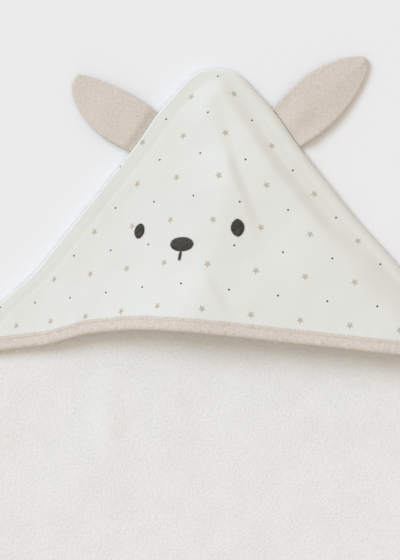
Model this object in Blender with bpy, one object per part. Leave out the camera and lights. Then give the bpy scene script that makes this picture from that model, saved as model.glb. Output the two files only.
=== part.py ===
"""Hooded baby towel, laid flat with its hood up the +Y way and the hood's mouth facing -Y.

A square terry towel lies on Z = 0 as a diamond. Its top corner carries a hood: a printed
panel over a terry lining, with a folded tape along the front edge, two fabric ears caught in
the side seams and a small embroidered face. The origin is on the towel's underside, midway
between its two side corners. Units are metres.
"""

import math

import bmesh
import bpy
from mathutils import Matrix, Vector

# Towel
TOWEL_SIDE = 0.80
TOWEL_THICKNESS = 0.004
CORNER_RADIUS = 0.015
EDGE_ANGLE = math.radians(48.5)       # lie of the two edges below the hood, from +Y

# Hood
HOOD_LEG = 0.32                       # sewn edge of the hood, from the corner's point
HOOD_ANGLE = math.radians(38.5)       # lie of the sewn edges, drawn in as the hood stands up
TIP_RADIUS = 0.030
HOOD_RISE = 0.020                     # how far the front edge stands off the towel
RIDGE_SHIFT = -0.055                  # the ridge's x at the front edge; it is 0 at the tip
FRONT_SWEEP = 0.020                   # the front edge is drawn back this far on the ridge
FRONT_TILT = 0.010                    # and its +X end lies this much lower than its -X end
LINING_THICKNESS = 0.0025
PANEL_THICKNESS = 0.0008

# Folded tape on the front edge
BINDING_WIDTH = 0.010
BINDING_THICKNESS = 0.0008

# Ears: "down" is the distance down the sewn edge from the corner's point, and "lean" turns an
# ear from square to that edge towards the tip
EARS = {
    "left": {"sign": -1, "length": 0.073, "width": 0.041, "down": 0.090, "lean": math.radians(4)},
    "right": {"sign": 1, "length": 0.083, "width": 0.044, "down": 0.085, "lean": math.radians(13)},
}
EAR_LAYER = 0.0013
EAR_BASE_SHARE = 0.86                 # width at the seam over the full width
EAR_WIDEST_AT = 0.38                  # share of the length where an ear is widest
EAR_FOLD_OFFSET = 0.004               # fold line of an ear, outside the towel's edge

# Face: the nose's place behind the front edge, the rest from the nose
NOSE_BEHIND_EDGE = 0.071
NOSE_X = -0.028
NOSE_SIZE = (0.018, 0.0117)
EYE_LEFT = (-0.0336, 0.0105)
EYE_LEFT_SIZE = (0.0080, 0.0122)
EYE_LEFT_LEAN = math.radians(-17)
EYE_RIGHT = (0.0440, 0.0129)
EYE_RIGHT_SIZE = (0.0112, 0.0138)
MOUTH_LENGTH = 0.0068
MOUTH_WIDTH = 0.0020
SATIN_THICKNESS = 0.0006
SATIN_SIDES = 20

# Threads
THREAD = 0.0006
STITCH_INSET = 0.010                  # rows of stitches from an outer edge
BINDING_STITCH_INSET = 0.0015         # row of stitches from the tape's inner edge

CLEARANCE = 0.0004                    # between cloths that lie on one another

# Worked out from the sizes above
POINT_Y = HOOD_LEG * math.cos(HOOD_ANGLE) + (TOWEL_SIDE - HOOD_LEG) * math.cos(EDGE_ANGLE)
HOOD_END_X = HOOD_LEG * math.sin(HOOD_ANGLE)
HOOD_END_Y = POINT_Y - HOOD_LEG * math.cos(HOOD_ANGLE)
TIP_CENTRE_Y = POINT_Y - TIP_RADIUS / math.sin(HOOD_ANGLE)
TIP_Y = TIP_CENTRE_Y + TIP_RADIUS
EDGE_LIFT = BINDING_THICKNESS + 2 * CLEARANCE
EAR_FOLD_HEIGHT = TOWEL_THICKNESS + EDGE_LIFT / 2
FLARE_REACH = HOOD_LEG / 16           # length over which the outline turns below the hood

TERRY_WHITE = (0.80, 0.79, 0.76)
COTTON_WHITE = (0.78, 0.78, 0.75)
MELANGE_BEIGE = (0.62, 0.56, 0.48)
CHARCOAL = (0.05, 0.048, 0.045)


# ---------------------------------------------------------------- outline and heights

def half_width(y):
    """Half of the towel's width at y, for the upper half of the diamond."""
    if y >= TIP_CENTRE_Y + TIP_RADIUS * math.sin(HOOD_ANGLE):
        return math.sqrt(max(TIP_RADIUS ** 2 - (y - TIP_CENTRE_Y) ** 2, 0.0))
    below = HOOD_END_Y - y
    flare = (below + math.hypot(below, FLARE_REACH)) / 2
    turn = math.tan(EDGE_ANGLE) - math.tan(HOOD_ANGLE)
    return (POINT_Y - y) * math.tan(HOOD_ANGLE) + flare * turn


def tent(share, roundness):
    """1 on a ridge and 0 at its foot, with a crown that is round over about roundness."""
    fall = math.hypot(share, roundness) - roundness
    return 1 - fall / (math.hypot(1, roundness) - roundness)


def share_from_ridge(x, ridge, side):
    """0 on the ridge and 1 at the edge, on whichever side of the ridge x is."""
    reach = side - ridge if x > ridge else side + ridge
    return min(abs(x - ridge) / max(reach, 1e-6), 1.0)


def front_y(x):
    """The hood's front edge in plan."""
    share = share_from_ridge(x, RIDGE_SHIFT, HOOD_END_X)
    return HOOD_END_Y - FRONT_TILT / 2 * x / HOOD_END_X + FRONT_SWEEP * tent(share, 0.15)


def arch(x, y):
    """How far the hood has risen off the towel, above its sewn edges."""
    depth = max(TIP_Y - y, 0.0) / (TIP_Y - front_y(x))
    share = share_from_ridge(x, RIDGE_SHIFT * depth, half_width(y))
    return HOOD_RISE * depth ** 1.2 * tent(share, 0.6)


def lining_under(x, y):
    return TOWEL_THICKNESS + EDGE_LIFT + arch(x, y)


def panel_under(x, y):
    return lining_under(x, y) + LINING_THICKNESS + CLEARANCE


def panel_top(x, y):
    return panel_under(x, y) + PANEL_THICKNESS


def binding_top(x, y):
    return panel_top(x, y) + CLEARANCE + BINDING_THICKNESS


def hood_plan(across, down, behind=0.0):
    """Plan point of the hood: across -1..1 between the sewn edges, down 0 at the tip and 1
    at the front edge, moved back from there by behind."""
    y = TIP_Y - down * (TIP_Y - HOOD_END_Y)
    for _ in range(30):
        x = across * half_width(y)
        y = TIP_Y - down * (TIP_Y - front_y(x)) + behind
    return x, y


# ---------------------------------------------------------------- building closed solids

def add_object(name, bm, colour, roughness, parent=None):
    """Make the object of a finished bmesh, with a material of its own."""
    bmesh.ops.recalc_face_normals(bm, faces=bm.faces)
    if bm.calc_volume(signed=True) < 0:
        bmesh.ops.reverse_faces(bm, faces=bm.faces)
    mesh = bpy.data.meshes.new(name)
    bm.to_mesh(mesh)
    bm.free()
    mesh.shade_smooth()
    mesh.set_sharp_from_angle(angle=math.radians(35))
    material = bpy.data.materials.new(name + "_material")
    material.use_nodes = True
    shader = material.node_tree.nodes["Principled BSDF"]
    shader.inputs["Base Color"].default_value = (*colour, 1)
    shader.inputs["Roughness"].default_value = roughness
    shader.inputs["Metallic"].default_value = 0
    mesh.materials.append(material)
    obj = bpy.data.objects.new(name, mesh)
    obj.parent = parent
    bpy.context.scene.collection.objects.link(obj)
    return obj


def thicken(bm, thickness):
    """Extrude an open sheet straight up into a closed slab."""
    made = bmesh.ops.extrude_face_region(bm, geom=bm.faces[:], use_keep_orig=True)
    verts = [item for item in made["geom"] if isinstance(item, bmesh.types.BMVert)]
    bmesh.ops.translate(bm, verts=verts, vec=(0, 0, thickness))


def draped_sheet(rows, under, thickness):
    """Closed slab on rows of plan points, each row as long as the next or a single point."""
    bm = bmesh.new()
    grid = [[bm.verts.new((x, y, under(x, y))) for x, y in row] for row in rows]
    for upper, lower in zip(grid, grid[1:]):
        for i in range(len(lower) - 1):
            if len(upper) == 1:
                bm.faces.new((upper[0], lower[i], lower[i + 1]))
            else:
                bm.faces.new((upper[i], lower[i], lower[i + 1], upper[i + 1]))
    thicken(bm, thickness)
    return bm


def ribbon(path, under, width):
    """Closed strip of thread along a plan path."""
    rows = []
    for i, point in enumerate(path):
        ahead = Vector(path[min(i + 1, len(path) - 1)])
        back = Vector(path[max(i - 1, 0)])
        side = (ahead - back).normalized().orthogonal() * width / 2
        rows.append([tuple(Vector(point) + side), tuple(Vector(point) - side)])
    return draped_sheet(rows, under, THREAD)


def satin_patch(centre, size, lean):
    """Closed oval of raised stitching that follows the hood panel."""
    bm = bmesh.new()
    start = bm.verts.new((*centre, on_panel(*centre)))
    rings = []
    for share in (0.5, 1.0):
        ring = []
        for i in range(SATIN_SIDES):
            turn = 2 * math.pi * i / SATIN_SIDES
            dx = share * size[0] / 2 * math.cos(turn)
            dy = share * size[1] / 2 * math.sin(turn)
            x = centre[0] + dx * math.cos(lean) - dy * math.sin(lean)
            y = centre[1] + dx * math.sin(lean) + dy * math.cos(lean)
            ring.append(bm.verts.new((x, y, on_panel(x, y))))
        rings.append(ring)
    inner, outer = rings
    for i in range(SATIN_SIDES):
        after = (i + 1) % SATIN_SIDES
        bm.faces.new((start, inner[i], inner[after]))
        bm.faces.new((inner[i], outer[i], outer[after], inner[after]))
    thicken(bm, SATIN_THICKNESS)
    return bm


def on_panel(x, y):
    return panel_top(x, y) + CLEARANCE


# ---------------------------------------------------------------- the towel

def rounded_corner(before, corner, after, radius, steps=6):
    """Points of the arc that rounds one corner."""
    to_before = (before - corner).normalized()
    to_after = (after - corner).normalized()
    half = to_before.angle(to_after) / 2
    centre = corner + (to_before + to_after).normalized() * radius / math.sin(half)
    first = corner + to_before * radius / math.tan(half) - centre
    last = corner + to_after * radius / math.tan(half) - centre
    points = []
    for i in range(steps + 1):
        mix = first.lerp(last, i / steps)
        points.append(centre + mix.normalized() * radius)
    return points


def edge_rows():
    """Values of y down the upper edge, close together round the tip and below the hood."""
    tip_turn = math.radians(90) - HOOD_ANGLE
    rows = [TIP_CENTRE_Y + TIP_RADIUS * math.cos(tip_turn * i / 6) for i in range(1, 7)]
    straight_top = rows[-1]
    flare_bottom = HOOD_END_Y - 4 * FLARE_REACH
    rows += [straight_top + (flare_bottom - straight_top) * i / 16 for i in range(1, 17)]
    return rows


def towel_outline():
    """Outline of the towel, anticlockwise from the tip."""
    right = [Vector((half_width(y), y)) for y in edge_rows()]
    side = Vector((half_width(0), 0))
    foot = Vector((0, -math.sqrt(TOWEL_SIDE ** 2 - side.x ** 2)))
    right += rounded_corner(right[-1], side, foot, CORNER_RADIUS)
    left = [Vector((-p.x, p.y)) for p in right]
    bottom = rounded_corner(left[-1], foot, right[-1], CORNER_RADIUS)
    return [Vector((0, TIP_Y))] + left + bottom + right[::-1]


def inset_outline(distance):
    """The outline moved inwards along each point's own bisector."""
    outline = towel_outline()
    count = len(outline)
    moved = []
    for i, point in enumerate(outline):
        along = (outline[(i + 1) % count] - outline[i - 1]).normalized()
        moved.append(point + Vector((-along.y, along.x)) * distance)
    return moved


def make_towel():
    bm = bmesh.new()
    bm.faces.new([bm.verts.new((p.x, p.y, 0)) for p in towel_outline()])
    thicken(bm, TOWEL_THICKNESS)
    add_object("towel_body", bm, TERRY_WHITE, 0.95)

    inset = inset_outline(STITCH_INSET)
    start_y = HOOD_END_Y - FRONT_TILT - STITCH_INSET
    path = [tuple(p) for p in inset if p.y < start_y]
    bm = ribbon(path, lambda x, y: TOWEL_THICKNESS + CLEARANCE, THREAD)
    add_object("hem_stitch", bm, TERRY_WHITE, 0.7)


# ---------------------------------------------------------------- the hood

def hood_rows():
    """Rows of plan points from the tip to the front edge."""
    tip_turn = math.radians(90) - HOOD_ANGLE
    depth = TIP_Y - front_y(0)
    downs = [TIP_RADIUS * (1 - math.cos(tip_turn * i / 4)) / depth for i in range(1, 5)]
    downs += [downs[-1] + (1 - downs[-1]) * i / 10 for i in range(1, 11)]
    rows = [[hood_plan(0, 0)]]
    for down in downs:
        rows.append([hood_plan(i / 10 - 1, down) for i in range(21)])
    return rows


def make_hood_cloths(parent):
    lining = draped_sheet(hood_rows(), lining_under, LINING_THICKNESS)
    add_object("hood_lining", lining, TERRY_WHITE, 0.95, parent)
    panel = draped_sheet(hood_rows(), panel_under, PANEL_THICKNESS)
    add_object("hood_panel", panel, COTTON_WHITE, 0.8, parent)


def binding_section():
    """The folded tape across the front edge: distance behind the edge, share of the way up
    from the lining's underside to the panel's top, and height added there."""
    inner = CLEARANCE
    outer = CLEARANCE + BINDING_THICKNESS
    return [
        (BINDING_WIDTH, 1, outer),
        (0, 1, outer),
        (-0.7 * outer, 0.9, 0.5 * outer),
        (-1.3 * outer, 0.5, 0),
        (-0.7 * outer, 0.1, -0.5 * outer),
        (0, 0, -outer),
        (BINDING_WIDTH, 0, -outer),
        (BINDING_WIDTH, 0, -inner),
        (-0.5 * inner, 0, -inner),
        (-0.5 * inner, 1, inner),
        (BINDING_WIDTH, 1, inner),
    ]


def make_binding(parent):
    bm = bmesh.new()
    loops = []
    for i in range(25):
        loop = []
        for behind, share, added in binding_section():
            x, y = hood_plan(i / 12 - 1, 1, behind)
            low = lining_under(x, y)
            high = panel_top(x, y)
            loop.append(bm.verts.new((x, y, low + share * (high - low) + added)))
        loops.append(loop)
    for first, second in zip(loops, loops[1:]):
        for j in range(len(first)):
            after = (j + 1) % len(first)
            bm.faces.new((first[j], first[after], second[after], second[j]))
    caps = [bm.faces.new(loops[0]), bm.faces.new(loops[-1])]
    bmesh.ops.triangulate(bm, faces=caps, ngon_method="EAR_CLIP")
    add_object("hood_binding", bm, MELANGE_BEIGE, 0.85, parent)


def make_hood_threads(parent):
    row_behind = BINDING_WIDTH - BINDING_STITCH_INSET
    path = [hood_plan(0.97 * (i / 12 - 1), 1, row_behind) for i in range(25)]
    bm = ribbon(path, lambda x, y: binding_top(x, y) + CLEARANCE, THREAD)
    add_object("hood_binding_stitch", bm, MELANGE_BEIGE, 0.7, parent)

    inset = inset_outline(STITCH_INSET)
    end_y = HOOD_END_Y + FRONT_TILT + 2 * BINDING_WIDTH
    left = [tuple(p) for p in inset if p.y > end_y and p.x < -1e-6]
    right = [tuple(p) for p in inset if p.y > end_y and p.x > 1e-6]
    tip = (0, TIP_Y - STITCH_INSET)
    bm = ribbon(left[::-1] + [tip] + right[::-1], on_panel, THREAD)
    add_object("hood_seam_stitch", bm, COTTON_WHITE, 0.7, parent)


def make_face(parent):
    nose = (NOSE_X, front_y(NOSE_X) + NOSE_BEHIND_EDGE)
    add_object("nose", satin_patch(nose, NOSE_SIZE, 0), CHARCOAL, 0.5, parent)
    left = (nose[0] + EYE_LEFT[0], nose[1] + EYE_LEFT[1])
    add_object("left_eye", satin_patch(left, EYE_LEFT_SIZE, EYE_LEFT_LEAN), CHARCOAL, 0.5, parent)
    right = (nose[0] + EYE_RIGHT[0], nose[1] + EYE_RIGHT[1])
    add_object("right_eye", satin_patch(right, EYE_RIGHT_SIZE, 0), CHARCOAL, 0.5, parent)
    top = nose[1] - NOSE_SIZE[1] / 2 - CLEARANCE
    path = [(nose[0], top - MOUTH_LENGTH * i / 4) for i in range(5)]
    add_object("mouth", ribbon(path, on_panel, MOUTH_WIDTH), CHARCOAL, 0.5, parent)


# ---------------------------------------------------------------- the ears

def ear_outline(length, width):
    """Leaf shape with its root square to +Y and its fold line on the X axis."""
    root = -(EAR_FOLD_OFFSET - 2 * CLEARANCE)
    right = [(EAR_BASE_SHARE * width / 2, root), (EAR_BASE_SHARE * width / 2, 0.0)]
    for i in range(1, 5):
        share = i / 4
        swell = EAR_BASE_SHARE + (1 - EAR_BASE_SHARE) * math.sin(share * math.pi / 2)
        right.append((swell * width / 2, share * EAR_WIDEST_AT * length))
    for i in range(1, 10):
        turn = math.radians(90) * i / 9
        along = EAR_WIDEST_AT + (1 - EAR_WIDEST_AT) * math.sin(turn)
        right.append((width / 2 * math.cos(turn), along * length))
    left = [(-x, y) for x, y in right[:-1]]
    return right + left[::-1]


def make_ear(side, sign, length, width, down, lean):
    """Two layers of cloth that turn together about the fold line by the side seam."""
    edge = Vector((sign * down * math.sin(HOOD_ANGLE), POINT_Y - down * math.cos(HOOD_ANGLE)))
    outward = Vector((sign * math.cos(HOOD_ANGLE), math.sin(HOOD_ANGLE)))
    fold = bpy.data.objects.new(side + "_ear_fold", None)
    fold.location = (*(edge + outward * EAR_FOLD_OFFSET), EAR_FOLD_HEIGHT)
    fold.rotation_euler.z = math.atan2(outward.y, outward.x) - math.radians(90)
    bpy.context.scene.collection.objects.link(fold)
    for layer, bottom in (("back", -EAR_LAYER - CLEARANCE / 2), ("front", CLEARANCE / 2)):
        bm = bmesh.new()
        points = []
        for x, y in ear_outline(length, width):
            slide = max(y, 0) * math.tan(sign * lean)
            points.append(bm.verts.new((x - slide, y, bottom)))
        bm.faces.new(points)
        thicken(bm, EAR_LAYER)
        add_object(side + "_ear_" + layer, bm, MELANGE_BEIGE, 0.85, fold)


# ---------------------------------------------------------------- assembly

def make_hood():
    """The hood's pieces on an empty that lies on its hinge line, across the very tip."""
    hinge = bpy.data.objects.new("hood_hinge", None)
    bpy.context.scene.collection.objects.link(hinge)
    make_hood_cloths(hinge)
    make_binding(hinge)
    make_hood_threads(hinge)
    make_face(hinge)
    hinge.location = (0, TIP_Y, TOWEL_THICKNESS + EDGE_LIFT)
    for piece in hinge.children:
        piece.data.transform(Matrix.Translation(-hinge.location))


for old in list(bpy.data.objects):
    bpy.data.objects.remove(old)

make_towel()
make_hood()

for ear_side, ear_sizes in EARS.items():
    make_ear(ear_side, **ear_sizes)
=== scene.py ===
"""Looks of the hooded baby towel: terry cloth, printed hood, taped edge, ears and embroidery.

The towel lies flat with the hood's tip up the +Y way, and every piece takes its place from
the CAD towel's box. The hood's pieces are made as a left and a right half that meet on
X = 0.
"""

import math
import random

import bmesh
import bpy
from mathutils import Matrix, Vector, noise


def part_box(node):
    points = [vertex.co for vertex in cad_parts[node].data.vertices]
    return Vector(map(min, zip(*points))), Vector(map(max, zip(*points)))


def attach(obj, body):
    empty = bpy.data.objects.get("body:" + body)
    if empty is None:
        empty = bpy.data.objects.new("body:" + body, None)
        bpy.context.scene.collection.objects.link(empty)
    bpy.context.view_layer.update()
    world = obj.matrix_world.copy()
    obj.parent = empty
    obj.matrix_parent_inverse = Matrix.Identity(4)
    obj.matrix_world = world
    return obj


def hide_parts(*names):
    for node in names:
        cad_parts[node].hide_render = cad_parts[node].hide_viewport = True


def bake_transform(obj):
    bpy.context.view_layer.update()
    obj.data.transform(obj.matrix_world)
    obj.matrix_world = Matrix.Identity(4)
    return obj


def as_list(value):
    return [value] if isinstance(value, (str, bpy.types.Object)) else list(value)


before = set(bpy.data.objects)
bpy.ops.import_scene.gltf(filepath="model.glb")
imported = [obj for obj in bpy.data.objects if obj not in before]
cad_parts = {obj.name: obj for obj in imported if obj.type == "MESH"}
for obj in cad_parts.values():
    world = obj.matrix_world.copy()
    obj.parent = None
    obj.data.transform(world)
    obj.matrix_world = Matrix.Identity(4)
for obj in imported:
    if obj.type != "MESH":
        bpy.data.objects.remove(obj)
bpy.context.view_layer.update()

random.seed(7)

MM = 0.001
SIDES = {"left": -1, "right": 1}

# ------------------------------------------------------------------ where everything lies

TOWEL_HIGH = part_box("towel_body")[1]

TOWEL_SIDE = 0.80
TOWEL_TOP = TOWEL_HIGH.z
TOWEL_ROUND = 2.5 * MM                # the towel's edge is rounded over this width
TIP_Y = TOWEL_HIGH.y
TIP_RADIUS = 30 * MM
HOOD_ANGLE = math.radians(38.5)       # lie of the hood's sewn edges, from +Y
EDGE_ANGLE = math.radians(48.5)       # lie of the towel's edges below the hood
HOOD_LEG = 0.32                       # a sewn edge, from the tip's sharp point to its end
POINT_Y = TIP_Y + TIP_RADIUS * (1 / math.sin(HOOD_ANGLE) - 1)
TIP_CENTRE_Y = TIP_Y - TIP_RADIUS
HOOD_END_X = HOOD_LEG * math.sin(HOOD_ANGLE)
HOOD_END_Y = POINT_Y - HOOD_LEG * math.cos(HOOD_ANGLE)
CORNER_RADIUS = 15 * MM
FLARE_REACH = 20 * MM

HOOD_RISE = 20 * MM                   # height of the arch at the front edge
CROWN_SHIFT = -32 * MM                # x of the arch's crown at the front edge
CREST_BEND = 60 * MM                  # how far the crown bows to the right on its way there
CREST_ROUND = 0.1                     # how softly the arch turns over its crown
STEP_WIDTH = 34 * MM                  # width of the hood's slope beside the right seam
GENTLE_SHARE = 0.22                   # of the right side's height, lost before that slope

FRONT_CREST = -55 * MM                # x where the front edge is drawn furthest back
FRONT_ROUND = 0.15                    # how softly it turns there
FRONT_SWEEP = 20 * MM                 # how far it is drawn back
FRONT_TILT = 10 * MM                  # how far its left end lies behind its right end
FRONT_SAG = 5 * MM                    # how far the left end hangs forward of that line
SAG_START = 95 * MM                   # from this far left of the middle
SAG_RAMP = 40 * MM
FRONT_TRIM = 4.8 * MM                 # the edge lies this far behind the hood's end points

# How the outline strays: the ears push it out, and the cloth spreads beside the hood's ends,
# by so much, from so far below the tip's point, growing over such a length
EAR_PUSH = 3 * MM
EAR_PUSH_DOWN = 55 * MM
EAR_PUSH_WIDTH = 20 * MM
END_SPREAD = {-1: (10 * MM, 178 * MM, 40 * MM), 1: (4 * MM, 135 * MM, 45 * MM)}
SPREAD_FADE = 0.3                     # it dies out from this y down to the side corners

SEAM_Z = 2.2 * MM                     # the side seam runs half way up the towel's edge
SEAM_TUCK = 1.8 * MM                  # the towel's edge stays this far inside the hood's
SEAM_ROLLS = (1.4 * MM, 6 * MM)       # width of the rolled edge, left and right
MIDDLE_WIDTH = 40 * MM                # the left side's ways pass into the right side's here
STACK = 9.0 * MM                      # top of towel, lining and panel by the side seam
PANEL_THICKNESS = 0.7 * MM
LINING_THICKNESS = 2.4 * MM
LAYER_GAP = 0.2 * MM                  # between panel and lining
LINING_INSET = 6 * MM                 # the lining stops this far inside the sewn edge
SEAM_STITCH_INSET = 10.5 * MM
HEM_WIDTH = 12 * MM
HEM_RISE = 1.2 * MM
HEM_STITCH_INSET = HEM_WIDTH - 2 * MM


def smooth(share):
    """0 below 0, 1 above 1 and a smooth step between."""
    share = min(max(share, 0.0), 1.0)
    return share * share * (3 - 2 * share)


def quarter_round(share):
    """Height of a quarter circle, 0 at its foot and 1 from share 1 on."""
    return math.sqrt(1 - (1 - min(max(share, 0.0), 1.0)) ** 2)


def hollow(distance, width):
    """1 on a line and falling to nothing about 2 widths away."""
    return math.exp(-(distance / width) ** 2)


def half_width(y, inset=0.0):
    """Half of the towel's width at y on the upper half, or that of a line inset from it."""
    if y >= TIP_CENTRE_Y + (TIP_RADIUS - inset) * math.sin(HOOD_ANGLE):
        return math.sqrt(max((TIP_RADIUS - inset) ** 2 - (y - TIP_CENTRE_Y) ** 2, 0.0))
    below = HOOD_END_Y - y
    flare = (below + math.hypot(below, FLARE_REACH)) / 2
    turn = math.tan(EDGE_ANGLE) - math.tan(HOOD_ANGLE)
    return (POINT_Y - y) * math.tan(HOOD_ANGLE) + flare * turn - inset / math.cos(HOOD_ANGLE)


def spread(y, side):
    """How far the outline strays outwards from its straight lie."""
    by_ear = EAR_PUSH * hollow(y - (POINT_Y - EAR_PUSH_DOWN), EAR_PUSH_WIDTH)
    widest, start, ramp = END_SPREAD[side]
    return by_ear + widest * smooth((POINT_Y - start - y) / ramp) * smooth(y / SPREAD_FADE)


def tent(share, roundness):
    """1 on a ridge and 0 at its foot, with a crown that is round over about roundness."""
    fall = math.hypot(share, roundness) - roundness
    return 1 - fall / (math.hypot(1, roundness) - roundness)


def front_y(x):
    """The hood's front edge in plan."""
    reach = HOOD_END_X - FRONT_CREST if x > FRONT_CREST else HOOD_END_X + FRONT_CREST
    share = min(abs(x - FRONT_CREST) / reach, 1.0)
    line = HOOD_END_Y + FRONT_TRIM - FRONT_TILT / 2 * x / HOOD_END_X
    line -= FRONT_SAG * smooth((-x - SAG_START) / SAG_RAMP)
    return line + FRONT_SWEEP * tent(share, FRONT_ROUND)


def hood_plan(across, down, behind=0.0, inset=0.0):
    """Plan point of the hood: across -1..1 between the sewn edges, down 0 at the tip and 1
    at the front edge, moved back from there by behind."""
    top = TIP_Y - inset
    y = top - down * (top - HOOD_END_Y)
    x = across * half_width(y, inset)
    for _ in range(8):                # the front edge's y and the width there settle together
        y = top - down * (top - front_y(x)) + behind
        x = across * half_width(y, inset)
    return x, y


def seam_distance(x, y):
    """Distance from a point of the hood to its sewn edge."""
    above = y - TIP_CENTRE_Y
    if above > abs(x) * math.tan(HOOD_ANGLE):
        return TIP_RADIUS - math.hypot(x, above)
    return (half_width(y) - abs(x)) * math.cos(HOOD_ANGLE)


def arch(x, y):
    """How far the hood stands off the towel above its sewn edges: it climbs gently from the
    left, and on the right it keeps its height and steps down near the seam."""
    depth = min(max(TIP_Y - y, 0.0) / (TIP_Y - front_y(x)), 1.1)
    side = half_width(y)
    crest = CROWN_SHIFT * depth ** 2 + CREST_BEND * depth * (1 - depth)
    climb = max((x + side) / max(crest + side, 1e-6), 0.0) ** 1.5
    right = max(side - crest, 1e-6)
    fall = max((side - x) / right, 0.0)
    step = right * math.cos(HOOD_ANGLE) / STEP_WIDTH
    slope = smooth(fall * step) / max(smooth(step), 1e-6)
    drop = GENTLE_SHARE * fall + (1 - GENTLE_SHARE) * slope
    lower = (climb + drop - math.hypot(climb - drop, CREST_ROUND)) / 2
    return HOOD_RISE * depth ** 1.5 * lower


def off_line(x, y, points):
    """Signed distance from a bent line that runs down the hood, positive to the right of it,
    and how far along it the nearest point lies, 0 to 1."""
    nearest, signed, share = 1e9, 0.0, 0.0
    spans = len(points) - 1
    for i in range(spans):
        (x0, y0), (x1, y1) = points[i], points[i + 1]
        dx, dy = x1 - x0, y1 - y0
        along = ((x - x0) * dx + (y - y0) * dy) / (dx * dx + dy * dy)
        along = min(max(along, 0.0), 1.0)
        gap = math.hypot(x - x0 - along * dx, y - y0 - along * dy)
        if gap < nearest:
            nearest, share = gap, (i + along) / spans
            signed = math.copysign(gap, dx * (y - y0) - dy * (x - x0))
    return signed, share


# Folds in the hood, where the cloth stands higher on the left of a line and steps down on
# its right: height, width of the step, how far the raised cloth reaches, and the line
FOLDS = [
    (2.4 * MM, 11 * MM, 26 * MM,
     [(-0.045, 0.600), (-0.024, 0.562), (-0.011, 0.535), (0.000, 0.508), (0.010, 0.470)]),
    (5.2 * MM, 6.5 * MM, 36 * MM,
     [(-0.030, 0.610), (-0.008, 0.566), (0.002, 0.543), (0.018, 0.516), (0.034, 0.492),
      (0.050, 0.468), (0.070, 0.444), (0.089, 0.420), (0.118, 0.396), (0.142, 0.374),
      (0.165, 0.352)]),
    (3.4 * MM, 5.0 * MM, 40 * MM,
     [(-0.002, 0.528), (0.006, 0.492), (0.010, 0.480), (0.013, 0.468), (0.018, 0.456),
      (0.023, 0.444), (0.030, 0.425), (0.036, 0.400)]),
    (1.7 * MM, 3.5 * MM, 28 * MM,
     [(-0.014, 0.396), (-0.007, 0.384), (-0.001, 0.372), (0.006, 0.360), (0.014, 0.348)]),
]
CALM_RIM = 3 * MM                     # beside the sewn edge the cloth has no folds
CALM_RAMPS = (28 * MM, 12 * MM)       # they grow over this width, left and right
RESTING = 7.5 * MM                    # lowest the printed face can lie, on lining and towel
RESTING_ROUND = 0.6 * MM

# Ripples of lying cloth: their size and height
HOOD_RIPPLE = (45 * MM, 1.1 * MM)
FINE_RIPPLE = (16 * MM, 0.3 * MM)
TOWEL_RIPPLE = (70 * MM, 1.4 * MM)
EAR_RIPPLE = (17 * MM, 0.5 * MM)

SEAM_GROOVE = (0.25 * MM, 2.2 * MM)   # depth and width, along the seam's stitches
PUCKER_RISE = 0.12 * MM               # small puckers where the tape is sewn on
PUCKER_WAVE = 2.1 * MM
PUCKER_DRIFT = 23 * MM
PUCKER_BEHIND = 9 * MM
PUCKER_WIDTH = 6 * MM


def left_to_right(x, left, right):
    """A left side's value that passes into the right side's across the middle."""
    return left + (right - left) * smooth(x / MIDDLE_WIDTH + 0.5)


def folds(x, y):
    """Height of the folds."""
    height = 0.0
    for highest, width, reach, points in FOLDS:
        off, along = off_line(x, y, points)
        step = 1 - smooth(off / (2 * width) + 0.5)
        height += highest * step * hollow(max(-off, 0), reach) * math.sin(math.pi * along) ** 1.2
    return height


def resting_on(z, floor_z, roundness):
    """Keep z above a floor, with a round transition."""
    return floor_z + (z - floor_z + math.hypot(z - floor_z, roundness)) / 2


def ripple(x, y, size, height):
    """Height of a gentle unevenness, its bumps about size apart."""
    return height * noise.noise(Vector((x / size, y / size, 3.7)))


def panel_top(x, y):
    """Height of the hood's printed face."""
    seam = seam_distance(x, y)
    inner = smooth((seam - CALM_RIM) / left_to_right(x, *CALM_RAMPS))
    z = STACK + arch(x, y) + folds(x, y) * inner
    z -= SEAM_GROOVE[0] * hollow(seam - SEAM_STITCH_INSET, SEAM_GROOVE[1])
    z += ripple(x, y, *HOOD_RIPPLE) * inner
    z += ripple(x + 0.3, y, *FINE_RIPPLE) * smooth(seam / (12 * MM))
    behind = y - front_y(x)
    pucker = math.sin(x / PUCKER_WAVE + 3 * math.sin(x / PUCKER_DRIFT))
    z += PUCKER_RISE * pucker * hollow(behind - PUCKER_BEHIND, PUCKER_WIDTH)
    z = resting_on(z, RESTING, RESTING_ROUND)
    return SEAM_Z + (z - SEAM_Z) * quarter_round(seam / left_to_right(x, *SEAM_ROLLS))


# ------------------------------------------------------------------ building pieces

def place_object(name, bm, material, sharp=50):
    """Make the finished object of a bmesh."""
    mesh = bpy.data.meshes.new(name)
    bm.to_mesh(mesh)
    bm.free()
    mesh.shade_smooth()
    mesh.set_sharp_from_angle(angle=math.radians(sharp))
    mesh.materials.append(material)
    obj = bpy.data.objects.new(name, mesh)
    bpy.context.scene.collection.objects.link(obj)
    return obj


MERGE_DISTANCE = 0.002 * MM           # closes the grid's edges where they meet in a point


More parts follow.
